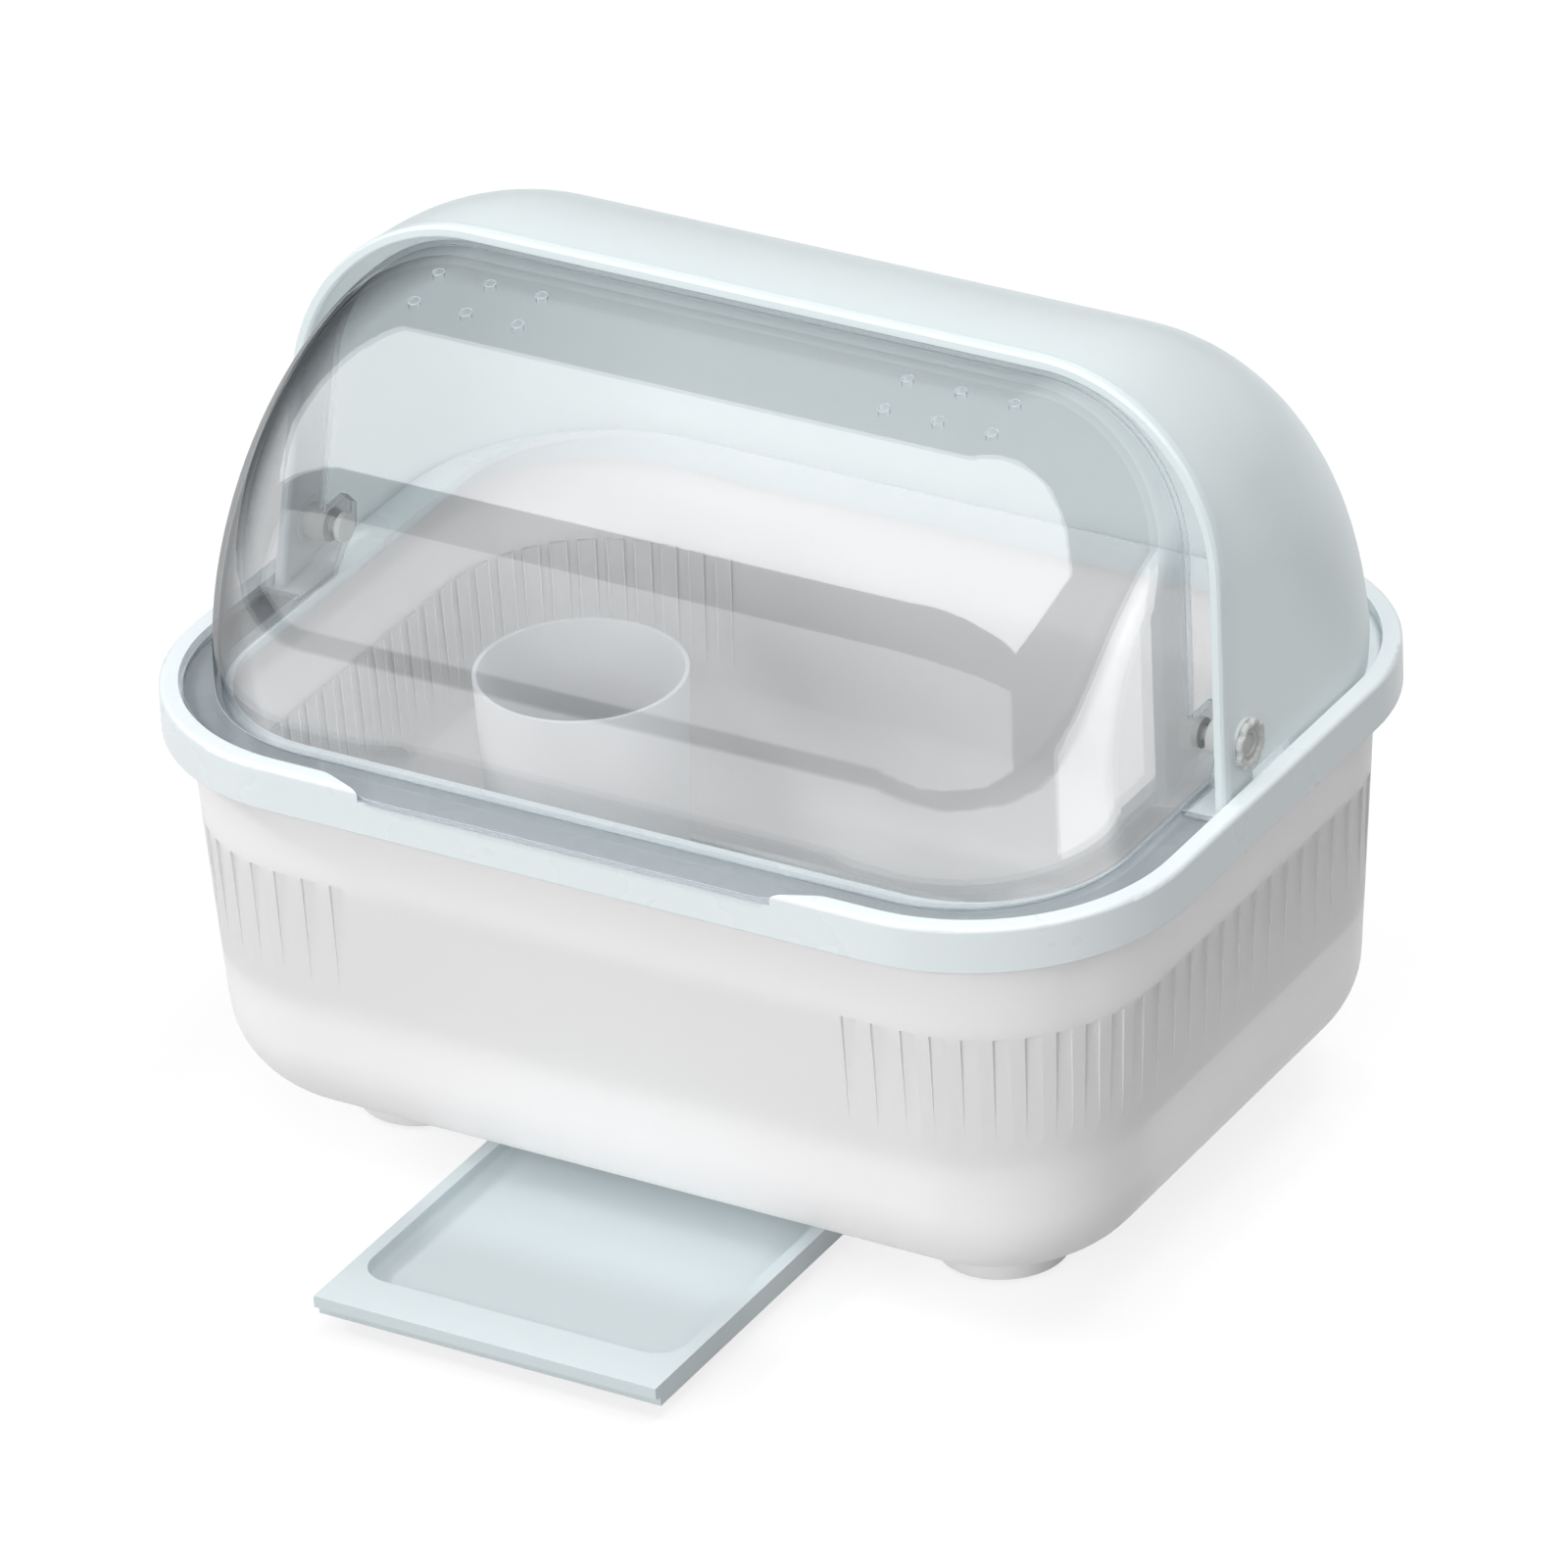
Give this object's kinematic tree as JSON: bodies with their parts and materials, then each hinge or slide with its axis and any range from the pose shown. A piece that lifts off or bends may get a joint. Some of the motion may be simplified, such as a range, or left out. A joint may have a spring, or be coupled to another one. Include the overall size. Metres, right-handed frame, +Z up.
{
  "type": "covered dish drying rack",
  "caption": "Covered dish drying box: white tub on feet, rim, rear hood, clear hinged lid, cutlery cup on a slotted drain board and a pull-out drip tray.",
  "frame": {"origin": "on the table plane, under the middle of the tub and rim", "axes": "+X to the rack's right as seen from the front, +Y to the back, +Z up"},
  "size_m": [0.4, 0.3675, 0.3224],
  "materials": {
    "tub_white": "satin white",
    "rim_white": "satin, faintly cool white",
    "hood_frosted": "translucent, satin",
    "lid_clear": "clear plastic, glossy",
    "hinge_grey": "satin light grey",
    "cup_white": "satin white",
    "board_white": "satin white",
    "tray_white": "satin, faintly cool white",
    "runner_white": "matt white",
    "foot_grey": "matt light grey",
    "pad_rubber": "matt dark grey"
  },
  "bodies": {
    "rack": {"outer_tub": "tub_white", "rim_frame": "rim_white", "rear_hood": "hood_frosted", "hinge_pin_left": "hinge_grey", "hinge_pin_right": "hinge_grey", "hinge_bush_left": "hinge_grey", "hinge_bush_right": "hinge_grey", "pin_ring_left": "hinge_grey", "pin_ring_right": "hinge_grey", "hinge_cap_left": "hinge_grey", "hinge_cap_right": "hinge_grey", "tray_runner_left": "runner_white", "tray_runner_right": "runner_white", "foot_front_left": "foot_grey", "foot_front_right": "foot_grey", "foot_rear_left": "foot_grey", "foot_rear_right": "foot_grey", "foot_pad_front_left": "pad_rubber", "foot_pad_front_right": "pad_rubber", "foot_pad_rear_left": "pad_rubber", "foot_pad_rear_right": "pad_rubber"},
    "lid": {"clear_lid": "lid_clear"},
    "tray": {"drip_tray": "tray_white"},
    "board": {"drain_board": "board_white"},
    "cup": {"cutlery_cup": "cup_white"}
  },
  "joints": [
    {"name": "lid_hinge", "type": "hinge", "parent": "rack", "child": "lid", "pos_m": [0, -0.009, 0.192], "axis": [-1, 0, 0], "range_deg": [0, 90]},
    {"name": "tray_slide", "type": "slide", "parent": "rack", "child": "tray", "axis": [0, 1, 0], "range_m": [-0.045, 0.093]},
    {"name": "board_lift", "type": "slide", "parent": "rack", "child": "board", "axis": [0, 0, 1], "range_m": [0, 0.06]},
    {"name": "cup_lift", "type": "slide", "parent": "board", "child": "cup", "axis": [0, 0, 1], "range_m": [0, 0.08]}
  ]
}
